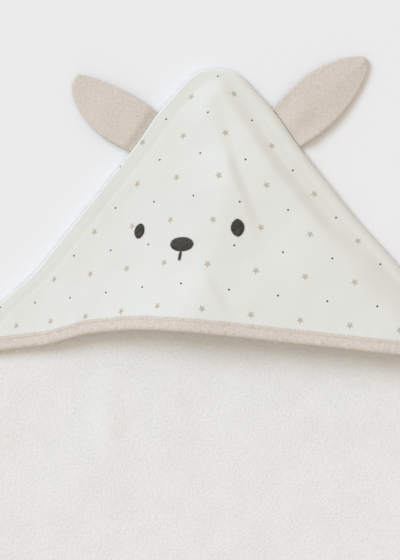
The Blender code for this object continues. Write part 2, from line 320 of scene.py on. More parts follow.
def cloth(name, cells, place, material, chart=None):
    """Closed sheet of cloth from a grid: place(a, b, layer) gives each point, with a and b
    from 0 to 1 and layer 1 on the face and 0 on the back, and chart(a, b, point) its UV."""
    bm = bmesh.new()
    bmesh.ops.create_grid(bm, x_segments=cells[0], y_segments=cells[1], size=0.5)
    bmesh.ops.translate(bm, verts=bm.verts, vec=(0.5, 0.5, 0))
    made = bmesh.ops.extrude_face_region(bm, geom=bm.faces[:], use_keep_orig=True)
    face_side = [item for item in made["geom"] if isinstance(item, bmesh.types.BMVert)]
    bmesh.ops.translate(bm, verts=face_side, vec=(0, 0, 1))
    uv = bm.loops.layers.uv.new("cloth")
    charted = {}
    for vert in bm.verts:
        a, b, layer = vert.co
        vert.co = place(a, b, round(layer))
        charted[vert] = chart(a, b, vert.co) if chart else (a, b)
    for face in bm.faces:
        for loop in face.loops:
            loop[uv].uv = charted[loop.vert]
    bmesh.ops.remove_doubles(bm, verts=bm.verts, dist=MERGE_DISTANCE)
    bmesh.ops.recalc_face_normals(bm, faces=bm.faces)
    if bm.calc_volume(signed=True) < 0:
        bmesh.ops.reverse_faces(bm, faces=bm.faces)
    return place_object(name, bm, material)


def crowd_to_edge(share):
    """Grid spacing that is close at 1 and wide at 0."""
    return 0.35 * share + 0.65 * (1 - (1 - share) ** 1.8)


def lift_with_hood(obj):
    """Bakes the piece's placing into its mesh; the hood's reach at the middle is worked out but
    not used.
    """
    reach = (POINT_Y - front_y(0)) * math.sin(HOOD_ANGLE)
    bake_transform(obj)


# ------------------------------------------------------------------ materials

def linear(colour):
    """An sRGB hex colour as linear RGBA."""
    channels = [int(colour[i:i + 2], 16) / 255 for i in (1, 3, 5)]
    return [c / 12.92 if c <= 0.04045 else ((c + 0.055) / 1.055) ** 2.4 for c in channels] + [1]


def add(tree, kind, inputs=None, **settings):
    """Add a node with its settings, and set or link its inputs."""
    node = tree.nodes.new(kind)
    for name, value in settings.items():
        setattr(node, name, value)
    for key, value in (inputs or {}).items():
        if isinstance(value, bpy.types.NodeSocket):
            tree.links.new(value, node.inputs[key])
        else:
            node.inputs[key].default_value = value
    return node


def new_material(name):
    material = bpy.data.materials.new(name)
    material.use_nodes = True
    return material, material.node_tree, material.node_tree.nodes["Principled BSDF"]


def terry_loops():
    """Looped cotton terry: loops about 1.5 mm apart stand up, so that the surface is matt and
    grainy; the colour is darkened with painted shade in the small hollows between loops, and
    with a faint painted shade in broad patches where they lean."""
    material, tree, shader = new_material("terry_loops")
    place = add(tree, "ShaderNodeTexCoord").outputs["Object"]
    loops = add(tree, "ShaderNodeTexVoronoi", {"Vector": place, "Scale": 1 / (1.5 * MM)},
                feature="SMOOTH_F1")
    fluff = add(tree, "ShaderNodeTexNoise", {"Vector": place, "Scale": 1 / (2.6 * MM),
                                             "Detail": 4, "Roughness": 0.65})
    lean_shade_patches = add(tree, "ShaderNodeTexNoise", {"Vector": place, "Scale": 1 / (22 * MM),
                                               "Detail": 3})
    # Painted shade: the colour darkens in the hollows between loops, where real loops shade each
    # other
    loop_gap_shade = add(tree, "ShaderNodeMapRange", {"Value": loops.outputs["Distance"],
                                            "From Min": 0.25, "From Max": 0.75,
                                            "To Min": 1, "To Max": 0})
    # grain: random fluff tone times the painted shade between loops; it also drives the bump
    grain = add(tree, "ShaderNodeMath", {0: loop_gap_shade.outputs["Result"],
                                         1: fluff.outputs["Fac"]}, operation="MULTIPLY")
    loop_tone_with_gap_shade = add(tree, "ShaderNodeMix", {"Factor": grain.outputs["Value"],
                                       "A": linear("#EBEAE6"), "B": linear("#F9F9F6")},
               data_type="RGBA")
    # Painted shade: broad patches a little darker where the loops lean
    shade = add(tree, "ShaderNodeMapRange", {"Value": lean_shade_patches.outputs["Fac"],
                                             "From Min": 0.3, "From Max": 0.7,
                                             "To Min": 0.965, "To Max": 1.0})
    toned = add(tree, "ShaderNodeVectorMath", {0: loop_tone_with_gap_shade.outputs["Result"],
                                               1: shade.outputs["Result"]},
                operation="MULTIPLY")
    tree.links.new(toned.outputs["Vector"], shader.inputs["Base Color"])
    bump = add(tree, "ShaderNodeBump", {"Height": grain.outputs["Value"],
                                        "Strength": 0.42, "Distance": 0.8 * MM})
    tree.links.new(bump.outputs["Normal"], shader.inputs["Normal"])
    shader.inputs["Roughness"].default_value = 0.95
    shader.inputs["Specular IOR Level"].default_value = 0.2
    shader.inputs["Sheen Weight"].default_value = 0.25
    shader.inputs["Sheen Roughness"].default_value = 0.6
    return material


PRINT_PITCH = (38 * MM, 35 * MM)      # rows of stars, across and down the cloth
STAR_POINT = 3.3 * MM                 # from a star's centre to its points
STAR_NOTCH = 1.45 * MM                # and to the notches between them
DOT_RADIUS = 0.78 * MM
INK_EDGE = 0.15 * MM                  # how far the ink runs at the edge of a star or dot


def printed_cotton():
    """Smooth cotton in a fine plain weave, printed with small beige stars and charcoal dots:
    almost even in colour, with a dull surface and a hardly visible thread."""
    material, tree, shader = new_material("printed_cotton")
    chart = add(tree, "ShaderNodeUVMap", uv_map="cloth").outputs["UV"]
    place = add(tree, "ShaderNodeTexCoord").outputs["Object"]
    pitch = (*PRINT_PITCH, 0)

    # Stars stand where both rows cross; phi folds a star onto half of one point
    shifted = add(tree, "ShaderNodeVectorMath", {0: chart, 1: (0.5, 0.5, 0)}, operation="ADD")
    cell = add(tree, "ShaderNodeVectorMath", {0: shifted.outputs[0]}, operation="FRACTION")
    centred = add(tree, "ShaderNodeVectorMath", {0: cell.outputs[0], 1: (0.5, 0.5, 0)},
                  operation="SUBTRACT")
    on_cloth = add(tree, "ShaderNodeVectorMath", {0: centred.outputs[0], 1: pitch},
                   operation="MULTIPLY")
    split = add(tree, "ShaderNodeSeparateXYZ", {0: on_cloth.outputs[0]})
    flat = add(tree, "ShaderNodeCombineXYZ", {0: split.outputs["X"], 1: split.outputs["Y"]})
    reach = add(tree, "ShaderNodeVectorMath", {0: flat.outputs[0]}, operation="LENGTH")
    angle = add(tree, "ShaderNodeMath", {0: split.outputs["X"], 1: split.outputs["Y"]},
                operation="ARCTAN2")
    phi = add(tree, "ShaderNodeMath", {0: angle.outputs[0], 1: math.pi / 5},
              operation="PINGPONG")
    cosine = add(tree, "ShaderNodeMath", {0: phi.outputs[0]}, operation="COSINE")
    sine = add(tree, "ShaderNodeMath", {0: phi.outputs[0]}, operation="SINE")
    along = add(tree, "ShaderNodeMath", {0: reach.outputs["Value"], 1: cosine.outputs[0],
                                         2: -STAR_POINT}, operation="MULTIPLY_ADD")
    beside = add(tree, "ShaderNodeMath", {0: reach.outputs["Value"], 1: sine.outputs[0]},
                 operation="MULTIPLY")
    rise = STAR_NOTCH * math.sin(math.pi / 5)
    run = STAR_POINT - STAR_NOTCH * math.cos(math.pi / 5)
    edge = math.hypot(rise, run)
    first = add(tree, "ShaderNodeMath", {0: along.outputs[0], 1: rise / edge},
                operation="MULTIPLY")
    outside = add(tree, "ShaderNodeMath", {0: beside.outputs[0], 1: run / edge,
                                           2: first.outputs[0]}, operation="MULTIPLY_ADD")
    star = add(tree, "ShaderNodeMapRange", {"Value": outside.outputs[0],
                                            "From Min": -INK_EDGE, "From Max": INK_EDGE,
                                            "To Min": 1, "To Max": 0})

    # Dots stand in the middle of each four stars
    dot_cell = add(tree, "ShaderNodeVectorMath", {0: chart}, operation="FRACTION")
    dot_centred = add(tree, "ShaderNodeVectorMath", {0: dot_cell.outputs[0],
                                                     1: (0.5, 0.5, 0)},
                      operation="SUBTRACT")
    dot_cloth = add(tree, "ShaderNodeVectorMath", {0: dot_centred.outputs[0], 1: pitch},
                    operation="MULTIPLY")
    dot_reach = add(tree, "ShaderNodeVectorMath", {0: dot_cloth.outputs[0]},
                    operation="LENGTH")
    dot = add(tree, "ShaderNodeMapRange", {"Value": dot_reach.outputs["Value"],
                                           "From Min": DOT_RADIUS - INK_EDGE,
                                           "From Max": DOT_RADIUS + INK_EDGE,
                                           "To Min": 1, "To Max": 0})

    # The real threads are 0.25 mm apart; they are drawn at 0.8 mm, so that they show
    weave = add(tree, "ShaderNodeTexNoise", {"Vector": place, "Scale": 1 / (0.8 * MM),
                                             "Detail": 2})
    uneven = add(tree, "ShaderNodeTexNoise", {"Vector": place, "Scale": 1 / (30 * MM)})
    ground = add(tree, "ShaderNodeMix", {"Factor": uneven.outputs["Fac"],
                                         "A": linear("#E5E6DF"), "B": linear("#E9E9E3")},
                 data_type="RGBA")
    ink = add(tree, "ShaderNodeMapRange", {"Value": weave.outputs["Fac"], "From Min": 0.3,
                                           "From Max": 0.7, "To Min": 0.55, "To Max": 1.0})
    star_ink = add(tree, "ShaderNodeMath", {0: star.outputs["Result"],
                                            1: ink.outputs["Result"]}, operation="MULTIPLY")
    starred = add(tree, "ShaderNodeMix", {"Factor": star_ink.outputs[0],
                                          "A": ground.outputs["Result"],
                                          "B": linear("#BDAF9A")}, data_type="RGBA")
    dotted = add(tree, "ShaderNodeMix", {"Factor": dot.outputs["Result"],
                                         "A": starred.outputs["Result"],
                                         "B": linear("#343330")}, data_type="RGBA")
    tree.links.new(dotted.outputs["Result"], shader.inputs["Base Color"])
    bump = add(tree, "ShaderNodeBump", {"Height": weave.outputs["Fac"], "Strength": 0.3,
                                        "Distance": 0.3 * MM})
    tree.links.new(bump.outputs["Normal"], shader.inputs["Normal"])
    shader.inputs["Roughness"].default_value = 0.85
    shader.inputs["Specular IOR Level"].default_value = 0.25
    shader.inputs["Sheen Weight"].default_value = 0.15
    return material


# The real yarn is about 0.3 mm thick; it is drawn coarser, so that it shows
YARN = 0.7 * MM
YARN_FLECK = 4 * MM                   # length of its flecks


def melange_cotton():
    """Cotton woven from flecked beige yarn: short pale and brown streaks run both ways along
    the threads, over a visible plain weave."""
    material, tree, shader = new_material("melange_cotton")
    chart = add(tree, "ShaderNodeUVMap", uv_map="cloth").outputs["UV"]
    streaks = []
    for stretch in ((1 / YARN_FLECK, 1 / YARN, 1), (1 / YARN, 1 / YARN_FLECK, 1)):
        scaled = add(tree, "ShaderNodeVectorMath", {0: chart, 1: stretch},
                     operation="MULTIPLY")
        streaks.append(add(tree, "ShaderNodeTexNoise", {"Vector": scaled.outputs[0],
                                                        "Scale": 1.0, "Detail": 3,
                                                        "Roughness": 0.6}).outputs["Fac"])
    both = add(tree, "ShaderNodeMath", {0: streaks[0], 1: streaks[1]}, operation="ADD")
    fleck = add(tree, "ShaderNodeMapRange", {"Value": both.outputs[0], "From Min": 0.75,
                                             "From Max": 1.25})
    tone = add(tree, "ShaderNodeValToRGB", {"Fac": fleck.outputs["Result"]})
    ramp = tone.color_ramp
    ramp.elements[0].position, ramp.elements[0].color = 0.1, linear("#CEC2B7")
    ramp.elements[1].position, ramp.elements[1].color = 0.95, linear("#E5DED5")
    ramp.elements.new(0.5).color = linear("#DBD1C7")
    tree.links.new(tone.outputs["Color"], shader.inputs["Base Color"])
    bump = add(tree, "ShaderNodeBump", {"Height": both.outputs[0], "Strength": 0.35,
                                        "Distance": 0.4 * MM})
    tree.links.new(bump.outputs["Normal"], shader.inputs["Normal"])
    shader.inputs["Roughness"].default_value = 0.9
    shader.inputs["Specular IOR Level"].default_value = 0.25
    shader.inputs["Sheen Weight"].default_value = 0.2
    return material


def spun_thread(name, dark, pale, roughness, fleck=0.7 * MM):
    """Twisted sewing or embroidery thread: dark and pale flecks, painted shade where its strands
    turn under and a painted highlight where they turn over; the smoother kinds are glossier.
    The flecks are drawn coarser than the real twist, which is too fine to show."""
    material, tree, shader = new_material(name)
    place = add(tree, "ShaderNodeTexCoord").outputs["Object"]
    twist = add(tree, "ShaderNodeTexNoise", {"Vector": place, "Scale": 1 / fleck, "Detail": 2})
    # Painted light on the twist: the pale end is a painted highlight, the dark end painted shade
    twist_shade_and_highlight = add(tree, "ShaderNodeMapRange", {"Value": twist.outputs["Fac"], "From Min": 0.35,
                                             "From Max": 0.65})
    tone = add(tree, "ShaderNodeMix", {"Factor": twist_shade_and_highlight.outputs["Result"], "A": linear(dark),
                                       "B": linear(pale)}, data_type="RGBA")
    tree.links.new(tone.outputs["Result"], shader.inputs["Base Color"])
    bump = add(tree, "ShaderNodeBump", {"Height": twist.outputs["Fac"], "Strength": 0.3,
                                        "Distance": 0.1 * MM})
    tree.links.new(bump.outputs["Normal"], shader.inputs["Normal"])
    shader.inputs["Roughness"].default_value = roughness
    shader.inputs["Sheen Weight"].default_value = 0.1
    return material


TERRY = terry_loops()
PRINT = printed_cotton()
MELANGE = melange_cotton()
WHITE_THREAD = spun_thread("white_sewing_thread", "#DCDAD3", "#F2F1EC", 0.6)
BEIGE_THREAD = spun_thread("beige_sewing_thread", "#B5A694", "#D6CABB", 0.6)
CHARCOAL_THREAD = spun_thread("charcoal_embroidery_thread", "#232221", "#504D49", 0.45,
                              fleck=1.3 * MM)


# ------------------------------------------------------------------ the towel

CORNER_STEPS = 8
TIP_STEPS = 12
SIDE_STEPS = 90
SIDE_END_Y = 20 * MM                  # where the straight of a side gives way to its corner


def rounded_corner(before, corner, after, radius):
    """Points of the arc that rounds one corner."""
    to_before = (before - corner).normalized()
    to_after = (after - corner).normalized()
    half = to_before.angle(to_after) / 2
    centre = corner + (to_before + to_after).normalized() * radius / math.sin(half)
    first = corner + to_before * radius / math.tan(half) - centre
    last = corner + to_after * radius / math.tan(half) - centre
    return [centre + first.lerp(last, i / CORNER_STEPS).normalized() * radius
            for i in range(CORNER_STEPS + 1)]


def side_line(side):
    """The towel's outline from the tip down one side to the foot."""
    tip_turn = math.radians(90) - HOOD_ANGLE
    rows = [TIP_CENTRE_Y + TIP_RADIUS * math.cos(tip_turn * i / TIP_STEPS)
            for i in range(TIP_STEPS + 1)]
    straight_top = rows[-1]
    rows += [straight_top * (1 - i / SIDE_STEPS) + SIDE_END_Y * i / SIDE_STEPS
             for i in range(1, SIDE_STEPS + 1)]
    line = []
    for y in rows:
        tucked = SEAM_TUCK * smooth((y - HOOD_END_Y) / (20 * MM) + 0.5)
        line.append(Vector((side * max(half_width(y, tucked) + spread(y, side), 0.0), y)))
    line[0] = Vector((0, TIP_Y - SEAM_TUCK))
    corner = Vector((side * half_width(0), 0))
    foot = Vector((0, -math.sqrt(TOWEL_SIDE ** 2 - corner.x ** 2)))
    line += rounded_corner(line[-1], corner, foot, CORNER_RADIUS)
    opposite = Vector((-corner.x, 0))
    half_foot = rounded_corner(corner, foot, opposite, CORNER_RADIUS)[:CORNER_STEPS // 2 + 1]
    return line + half_foot


def walk(line, share):
    """The point at a share of a line's length."""
    lengths = [(b - a).length for a, b in zip(line, line[1:])]
    left = share * sum(lengths)
    for start, end, length in zip(line, line[1:], lengths):
        if left <= length:
            return start.lerp(end, left / length)
        left -= length
    return line[-1].copy()


def halves_of(line):
    """Split a side line where it is furthest from X = 0."""
    turn = max(range(len(line)), key=lambda i: abs(line[i].x))
    return line[:turn + 1], line[turn:]


EDGE_STEPS = 400


def evenly(line):
    """The line as points at equal distances."""
    return [walk(line, i / EDGE_STEPS) for i in range(EDGE_STEPS + 1)]


LEFT_UPPER, LEFT_LOWER = (evenly(part) for part in halves_of(side_line(-1)))
RIGHT_UPPER, RIGHT_LOWER = (evenly(part) for part in halves_of(side_line(1)))


def on_edge(line, share):
    """The point at a share of an evenly divided line."""
    place = min(max(share, 0.0), 1.0) * EDGE_STEPS
    i = min(int(place), EDGE_STEPS - 1)
    return line[i].lerp(line[i + 1], place - i)


def towel_plan(a, b):
    """Plan point of the towel: a runs from the tip to the left corner, b to the right one."""
    upper_left, lower_right = on_edge(LEFT_UPPER, a), on_edge(RIGHT_LOWER, a)
    upper_right, lower_left = on_edge(RIGHT_UPPER, b), on_edge(LEFT_LOWER, b)
    tip, left, right, foot = LEFT_UPPER[0], LEFT_UPPER[-1], RIGHT_UPPER[-1], LEFT_LOWER[-1]
    ruled = upper_left * (1 - b) + lower_right * b + upper_right * (1 - a) + lower_left * a
    return ruled - (tip * (1 - a) * (1 - b) + left * a * (1 - b) + right * (1 - a) * b
                    + foot * a * b)


HOOD_SHARE = HOOD_LEG / TOWEL_SIDE
HEM_START = HOOD_SHARE + 0.01         # the hem begins this share down a side
HEM_RAMP = 0.02


def edge_distances(a, b):
    """Distances in the cloth to its four edges, and whether each is hemmed there."""
    return [
        (b * TOWEL_SIDE, smooth((a - HEM_START) / HEM_RAMP)),
        (a * TOWEL_SIDE, smooth((b - HEM_START) / HEM_RAMP)),
        ((1 - a) * TOWEL_SIDE, 1.0),
        ((1 - b) * TOWEL_SIDE, 1.0),
    ]


# Soft waves in the towel below the hood: height, width and line
TOWEL_WAVES = [
    (1.7 * MM, 9 * MM, [(-0.089, 0.330), (-0.088, 0.280), (-0.084, 0.225)]),
    (0.9 * MM, 14 * MM, [(-0.045, 0.320), (-0.040, 0.260), (-0.030, 0.180)]),
]


def towel_top(a, b, x, y):
    """Height of the towel's upper face: a turned hem along the free edges, with a groove
    where it is stitched, and slight waves in the open cloth."""
    edges = edge_distances(a, b)
    nearest = min(distance for distance, _ in edges)
    z = TOWEL_TOP / 2 + TOWEL_TOP / 2 * quarter_round(nearest / TOWEL_ROUND)
    hem = max(hemmed * (1 - smooth((distance - HEM_WIDTH) / (2 * MM)))
              for distance, hemmed in edges)
    groove = max(hemmed * hollow(distance - HEM_STITCH_INSET, 1.5 * MM)
                 for distance, hemmed in edges)
    open_cloth = smooth((front_y(x) - 0.012 - y) / 0.05) * smooth((nearest - 0.02) / 0.05)
    z += HEM_RISE * hem * quarter_round(nearest / (3 * MM)) - 0.9 * MM * groove
    z += (0.6 * MM + ripple(x, y, *TOWEL_RIPPLE)) * open_cloth
    for height, width, points in TOWEL_WAVES:
        off, along = off_line(x, y, points)
        z += height * hollow(off, width) * math.sin(math.pi * along) * open_cloth
    return z


def crowd_to_both(share):
    """Grid spacing that is close at both ends."""
    return share - 0.75 * math.sin(2 * math.pi * share) / (2 * math.pi)


def towel_point(a, b, layer):
    a, b = crowd_to_both(a), crowd_to_both(b)
    x, y = towel_plan(a, b)
    if layer:
        return x, y, towel_top(a, b, x, y)
    nearest = min(distance for distance, _ in edge_distances(a, b))
    return x, y, TOWEL_TOP / 2 * (1 - quarter_round(nearest / TOWEL_ROUND))


def make_towel():
    obj = cloth("towel_cloth", (150, 150), towel_point, TERRY)
    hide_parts("towel_body")
    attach(obj, "towel")
    make_hem_stitches()


# ------------------------------------------------------------------ the hood

def print_chart(x, y):
    """Rows of the print, counted from the star nearest the tip: the cloth is drawn together
    on the left of the ridge, droops to both sides of it, and turns a little at the tip. Its
    lengths are in mm, and it counts one from star to star."""
    down = (POINT_Y - y) / MM
    off_ridge = x / MM - (19.9 - 0.2855 * down)
    bend = math.hypot(off_ridge, 6) + 6
    left_pitch = 33.8 - 0.0277 * down
    right_pitch = 38.5
    mean = (1 / right_pitch + 1 / left_pitch) / 2
    skew = (1 / right_pitch - 1 / left_pitch) / 2
    by_tip = math.exp(-down / 30)
    u = off_ridge * mean + bend * skew - 0.00418 * down - 0.475 * by_tip + 0.181
    u -= 2.59e-6 * off_ridge ** 2
    droop = 0.1422 * bend - (0.0542 - 0.00012 * down) * off_ridge
    v = (down - droop) / 35.75 + 2.18e-6 * down ** 2 - 0.686 * by_tip - 0.854
    v += 2.79e-6 * off_ridge ** 2 - 0.0208 * max(off_ridge, 0) * math.exp(-down / 60)
    return u, v


def hood_place(sign, inset, top, bottom):
    """place() of a hood cloth with the given upper and lower faces."""
    def place(a, b, layer):
        x, y = hood_plan(sign * crowd_to_edge(a), b, inset=inset)
        z = top(x, y) if layer else bottom(x, y)
        return x + sign * spread(y, sign) * crowd_to_edge(a) ** 2, y, z
    return place


def print_round_edge(spot, sign):
    """The print where the cloth turns down at the seam runs on down its side."""
    drop = max(RESTING - spot.z, 0)
    return print_chart(spot.x + sign * math.cos(HOOD_ANGLE) * drop,
                       spot.y + math.sin(HOOD_ANGLE) * drop)


def make_hood_half(side, sign, patches):
    panel = cloth(
        "hood_panel_" + side, (84, 100),
        hood_place(sign, 0, panel_top, lambda x, y: panel_top(x, y) - PANEL_THICKNESS),
        PRINT, lambda a, b, co: print_round_edge(co, sign))
    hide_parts("hood_panel")
    under_panel = PANEL_THICKNESS + LAYER_GAP
    lining = cloth(
        "hood_lining_" + side, (50, 60),
        hood_place(sign, LINING_INSET, lambda x, y: panel_top(x, y) - under_panel,
                   lambda x, y: panel_top(x, y) - under_panel - LINING_THICKNESS),
        TERRY)
    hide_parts("hood_lining")
    tape = make_tape(side, sign)
    rows = make_hood_stitches(side, sign)
    for obj, pieces in ((panel, [tape, *rows, *patches]), (lining, [])):
        lift_with_hood(obj)
        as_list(pieces)


# ------------------------------------------------------------------ the taped front edge

TAPE_THICKNESS = 0.7 * MM
TAPE_GAP = 0.15 * MM
TAPE_ABOVE = 8.2 * MM                 # how far the tape reaches back over the printed face
TAPE_BELOW = 6.5 * MM                 # and under the lining
TAPE_FOLD = 2.6 * MM                  # how far its fold stands off the cloth's edge
TAPE_STITCH = 5.6 * MM                # from the cloth's edge to the stitches
TAPE_STRIP = 25 * MM                  # width of the strip before it is folded
TAPE_FLAT = 0.4                       # share of the strip in each of its two flat runs
TAPE_WAVE = (9 * MM, 4 * MM, 0.25 * MM)   # length, width and height


def tape_top(x, y):
    """Height of the middle of the tape's upper run."""
    length, width, height = TAPE_WAVE
    wave = height * noise.noise(Vector((x / length, y / width, 1.0)))
    return panel_top(x, y) + TAPE_GAP + TAPE_THICKNESS / 2 + wave


def tape_depth(x, y):
    """From the tape's upper run down to its lower run: it closes up at the sewn edge."""
    full = PANEL_THICKNESS + LINING_THICKNESS + LAYER_GAP + 2 * TAPE_GAP + TAPE_THICKNESS
    roll = left_to_right(x, *SEAM_ROLLS)
    return max(full * quarter_round(seam_distance(x, y) / roll), 1.6 * MM)


def laid(x, y):
    """Carry a plan point of the hood out to where the cloth has spread."""
    sign = -1 if x < 0 else 1
    across = min(abs(x) / max(half_width(y), 1e-6), 1.0)
    return x + sign * spread(y, sign) * across ** 2, y


def tape_place(sign):
    """place() of one half of the tape: over the face, round the edge and under the lining."""
    def place(a, b, layer):
        if b < TAPE_FLAT:
            behind, turn = TAPE_ABOVE * (1 - b / TAPE_FLAT), math.pi / 2
        elif b <= 1 - TAPE_FLAT:
            around = (b - TAPE_FLAT) / (1 - 2 * TAPE_FLAT)
            behind, turn = 0.0, math.pi / 2 - math.pi * around
        else:
            behind, turn = TAPE_BELOW * (b - 1 + TAPE_FLAT) / TAPE_FLAT, -math.pi / 2
        x, y = hood_plan(sign * a, 1, behind=behind)
        half = tape_depth(x, y) / 2
        off = (layer - 0.5) * TAPE_THICKNESS
        # A pressed fold: flatter above and below than a half circle
        rise = math.copysign(abs(math.sin(turn)) ** 0.6, turn)
        z = tape_top(x, y) - half + (half + off) * rise
        x, y = laid(x, y)
        return x, y - (TAPE_FOLD + off) * max(math.cos(turn), 0) ** 0.8, z
    return place


def make_tape(side, sign):
    tape = cloth("hood_tape_" + side, (130, 30), tape_place(sign), MELANGE,
                 lambda a, b, co: (a * HOOD_END_X, b * TAPE_STRIP))
    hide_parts("hood_binding")
    lift_with_hood(tape)
    return tape


# ------------------------------------------------------------------ rows of stitches

def bead(around, along):
    """Round bead one unit in radius, its poles on X: the shape of one stitch."""
    bm = bmesh.new()
    bmesh.ops.create_uvsphere(bm, u_segments=around, v_segments=along, radius=1,
                              matrix=Matrix.Rotation(math.pi / 2, 4, "Y"))
    mesh = bpy.data.meshes.new("bead")
    bm.to_mesh(mesh)
    bm.free()
    return mesh


def stamp(bm, mesh, matrix):
    """Add a copy of a mesh to a bmesh."""
    copy = mesh.copy()
    copy.transform(matrix)
    bm.from_mesh(copy)
    bpy.data.meshes.remove(copy)


STITCH = bead(6, 4)
SATIN_THREAD = bead(8, 12)

# Rows of stitches: a stitch's length, the gap after it and its thickness
SEAM_ROW = (2.4 * MM, 0.8 * MM, 0.45 * MM)
TAPE_ROW = (2.0 * MM, 0.9 * MM, 0.42 * MM)
HEM_ROW = (2.6 * MM, 0.9 * MM, 0.5 * MM)


def stitch_row(name, line, length, gap, thickness, material):
    """Row of stitches along a line of points: each one is a short round thread that dips
    into the cloth at both ends."""
    bm = bmesh.new()
    total = sum((b - a).length for a, b in zip(line, line[1:]))
    step = total / int(total / (length + gap))
    reached, target, marks = 0.0, 0.0, []
    for start, end in zip(line, line[1:]):
        span = (end - start).length
        while target <= reached + span and span > 0:
            marks.append(start.lerp(end, (target - reached) / span))
            target += step / 2
        reached += span
    size = Matrix.Diagonal((length / 2, thickness / 2, thickness / 2.4, 1))
    for middle, after in zip(marks[::2], marks[1::2]):
        turn = (after - middle).to_track_quat("X", "Z").to_matrix().to_4x4()
        stamp(bm, STITCH, Matrix.Translation(middle) @ turn @ size)
    return place_object(name, bm, material, sharp=180)


def make_hood_stitches(side, sign):
    """One half of the row along the sewn edges, and of the row that holds the tape."""
    line = []
    first = TIP_Y - SEAM_STITCH_INSET
    last = front_y(sign * HOOD_END_X * 0.95) + TAPE_ABOVE
    for i in range(401):
        y = first - (i / 400) ** 1.3 * (first - last)
        x = sign * half_width(y, SEAM_STITCH_INSET)
        line.append(Vector((*laid(x, y), panel_top(x, y) - 0.04 * MM)))
    row = stitch_row("hood_seam_stitches_" + side, line, *SEAM_ROW, WHITE_THREAD)
    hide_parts("hood_seam_stitch")
    lift_with_hood(row)
    line = []
    for i in range(301):
        x, y = hood_plan(sign * i / 300 * 0.975, 1, behind=TAPE_STITCH)
        line.append(Vector((*laid(x, y), tape_top(x, y) + TAPE_THICKNESS / 2 + 0.05 * MM)))
    tape_row = stitch_row("hood_tape_stitches_" + side, line, *TAPE_ROW, BEIGE_THREAD)
    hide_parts("hood_binding_stitch")
    lift_with_hood(tape_row)
    return [row, tape_row]


def make_hem_stitches():
    """One row inside the free edges, from one end of the hood round the foot to the other."""
    near = HEM_STITCH_INSET / TOWEL_SIDE
    first = HOOD_SHARE + 15 * MM / TOWEL_SIDE
    far = 1 - near
    corners = [(first, near), (far, near), (far, far), (near, far), (near, first)]
    line = []
    for (a0, b0), (a1, b1) in zip(corners, corners[1:]):
        for i in range(200):
            a, b = a0 + (a1 - a0) * i / 200, b0 + (b1 - b0) * i / 200
            x, y = towel_plan(a, b)
            line.append(Vector((x, y, towel_top(a, b, x, y) + 0.1 * MM)))
    row = stitch_row("towel_hem_stitches", line, *HEM_ROW, WHITE_THREAD)
    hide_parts("hem_stitch")
    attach(row, "towel")
    return row


# ------------------------------------------------------------------ the embroidered face

SATIN_PITCH = 0.55 * MM               # from one thread to the next
SATIN_RISE = 0.75 * MM                # how far the padded patch stands off the cloth
SATIN_RAGGED = 0.25 * MM              # how unevenly the threads end


def satin_patch(node, centre, size, lean, run, point=2.0):
    """Satin-stitched oval: threads lie side by side across a padded base. lean turns the
    oval, run is the direction of its threads, and point below 2 gives it pointed ends and
    above 2 blunt ones."""
    bm = bmesh.new()
    turn = Matrix.Rotation(lean, 4, "Z")
    half_w, half_h = size[0] / 2, size[1] / 2
    base = Matrix.Diagonal((half_w * 0.93, half_h * 0.93, SATIN_RISE * 0.6, 1))
    bmesh.ops.create_uvsphere(bm, u_segments=28, v_segments=10, radius=1, matrix=turn @ base)
    across = Vector((math.cos(run + math.pi / 2), math.sin(run + math.pi / 2), 0))
    along = Vector((math.cos(run), math.sin(run), 0))

    def inside(spot):
        return abs(spot.x / half_w) ** point + abs(spot.y / half_h) ** point <= 1

    reach = max(half_w, half_h)
    count = int(reach / SATIN_PITCH)
    for i in range(-count, count + 1):
        steps = [across * i * SATIN_PITCH + along * (k / 60 - 1) * reach for k in range(121)]
        covered = [spot for spot in steps if inside(spot)]
        if len(covered) < 4:
            continue
        first = covered[0] - along * random.uniform(0, SATIN_RAGGED)
        last = covered[-1] + along * random.uniform(0, SATIN_RAGGED)
        thread = Matrix.Translation((first + last) / 2 + Vector((0, 0, SATIN_RISE * 0.35)))
        thread = thread @ Matrix.Rotation(run, 4, "Z") @ Matrix.Diagonal(
            ((last - first).length / 2, SATIN_PITCH * 0.68, SATIN_RISE * 0.55, 1))
        stamp(bm, SATIN_THREAD, turn @ thread)
    for vert in bm.verts:
        vert.co.x += centre[0]
        vert.co.y += centre[1]
        vert.co.z += panel_top(vert.co.x, vert.co.y) + 0.1 * MM
    patch = place_object("embroidered_" + node, bm, CHARCOAL_THREAD, sharp=180)
    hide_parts(node)
    lift_with_hood(patch)
    return patch


def make_face():
    """Each patch: its centre, width and height, lean, run of its threads and pointedness."""
    return [
        satin_patch("left_eye", (-61.6 * MM, 419.3 * MM), (8.0 * MM, 12.2 * MM),
                    math.radians(-17), math.radians(20), 1.9),
        satin_patch("right_eye", (16.0 * MM, 421.7 * MM), (11.2 * MM, 13.8 * MM),
                    0.0, math.radians(12), 1.8),
        satin_patch("nose", (-28.0 * MM, 408.8 * MM), (18.0 * MM, 11.7 * MM),
                    math.radians(3), math.radians(90), 2.2),
        satin_patch("mouth", (-29.5 * MM, 399.6 * MM), (2.1 * MM, 7.4 * MM),
                    math.radians(-12), 0.0, 4.0),
    ]


# ------------------------------------------------------------------ the ears

EAR_LAYER = 1.2 * MM
EAR_GAP = 0.15 * MM                   # between an ear's base and the hood's outline

